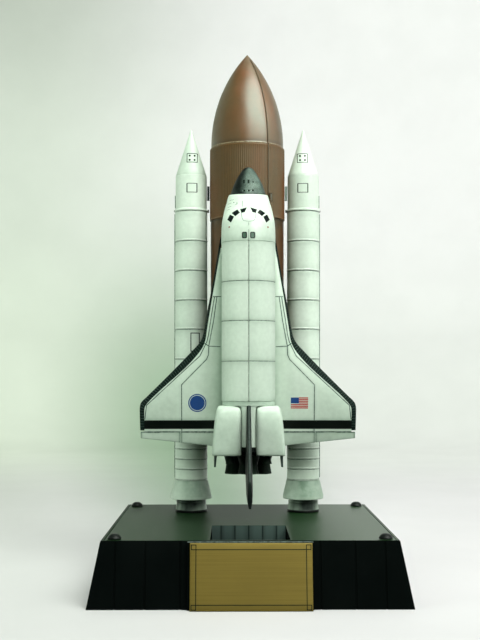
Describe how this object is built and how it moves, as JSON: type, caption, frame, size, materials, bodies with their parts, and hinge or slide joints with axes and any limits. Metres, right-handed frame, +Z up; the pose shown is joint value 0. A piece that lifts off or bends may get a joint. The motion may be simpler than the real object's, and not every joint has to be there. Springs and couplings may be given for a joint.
{
  "type": "space shuttle launch stack display model",
  "caption": "Display model of a space shuttle launch stack: winged orbiter with opening payload bay doors on a tank between boosters, on a hollow plinth with a blank plate.",
  "frame": {"origin": "middle of the bounding box in plan, at the plinth's foot", "axes": "+Z up along the tank, -Y towards the plinth's plate and the orbiter's top side"},
  "size_m": [0.1518, 0.1484, 0.2879],
  "materials": {
    "base_black": "satin",
    "plate_gold": "brushed",
    "tank_brown": "satin",
    "white_paint": "satin",
    "black_paint": "satin",
    "cap_grey": "satin",
    "nozzle_grey": "metallic satin"
  },
  "bodies": {
    "root": {"aft_fuselage": "white_paint", "aft_strut_left": "tank_brown", "aft_strut_right": "tank_brown", "base_shell": "base_black", "bipod_left": "tank_brown", "bipod_right": "tank_brown", "bipod_yoke": "tank_brown", "body_flap": "black_paint", "booster_case_left": "white_paint", "booster_case_right": "white_paint", "booster_cone_left": "white_paint", "booster_cone_right": "white_paint", "booster_mount_forward_left": "black_paint", "booster_mount_forward_right": "black_paint", "booster_nozzle_left": "nozzle_grey", "booster_nozzle_right": "nozzle_grey", "booster_skirt_aft_left": "white_paint", "booster_skirt_aft_right": "white_paint", "booster_skirt_forward_left": "white_paint", "booster_skirt_forward_right": "white_paint", "booster_strut_aft_left": "tank_brown", "booster_strut_aft_right": "tank_brown", "booster_tunnel_left": "white_paint", "booster_tunnel_right": "white_paint", "cable_tray": "black_paint", "elevon_inner_left": "white_paint", "elevon_inner_right": "white_paint", "elevon_outer_left": "white_paint", "elevon_outer_right": "white_paint", "engine_left": "black_paint", "engine_right": "black_paint", "engine_upper": "black_paint", "feedline": "tank_brown", "fin": "white_paint", "forward_fuselage": "white_paint", "leading_edge_left": "black_paint", "leading_edge_right": "black_paint", "mid_fuselage": "white_paint", "name_plate": "plate_gold", "nose_cap": "cap_grey", "pod_left": "white_paint", "pod_nozzle_left": "black_paint", "pod_nozzle_right": "black_paint", "pod_right": "white_paint", "pod_thruster_left": "black_paint", "pod_thruster_right": "black_paint", "rudder": "white_paint", "stud_back_left": "base_black", "stud_back_right": "base_black", "stud_front_left": "base_black", "stud_front_right": "base_black", "tank_barrel": "tank_brown", "tank_intertank": "tank_brown", "tank_nose": "tank_brown", "wing_panel_left": "white_paint", "wing_panel_right": "white_paint"},
    "door_left": {"bay_door_left": "white_paint"},
    "door_right": {"bay_door_right": "white_paint"}
  },
  "joints": [
    {"name": "door_left_hinge", "type": "hinge", "parent": "root", "child": "door_left", "pos_m": [-0.01358, -0.00665, 0.13545], "axis": [0, 0, -1], "range_deg": [0, 175.5]},
    {"name": "door_right_hinge", "type": "hinge", "parent": "root", "child": "door_right", "pos_m": [0.01358, -0.00665, 0.13545], "axis": [0, 0, 1], "range_deg": [0, 175.5]}
  ]
}
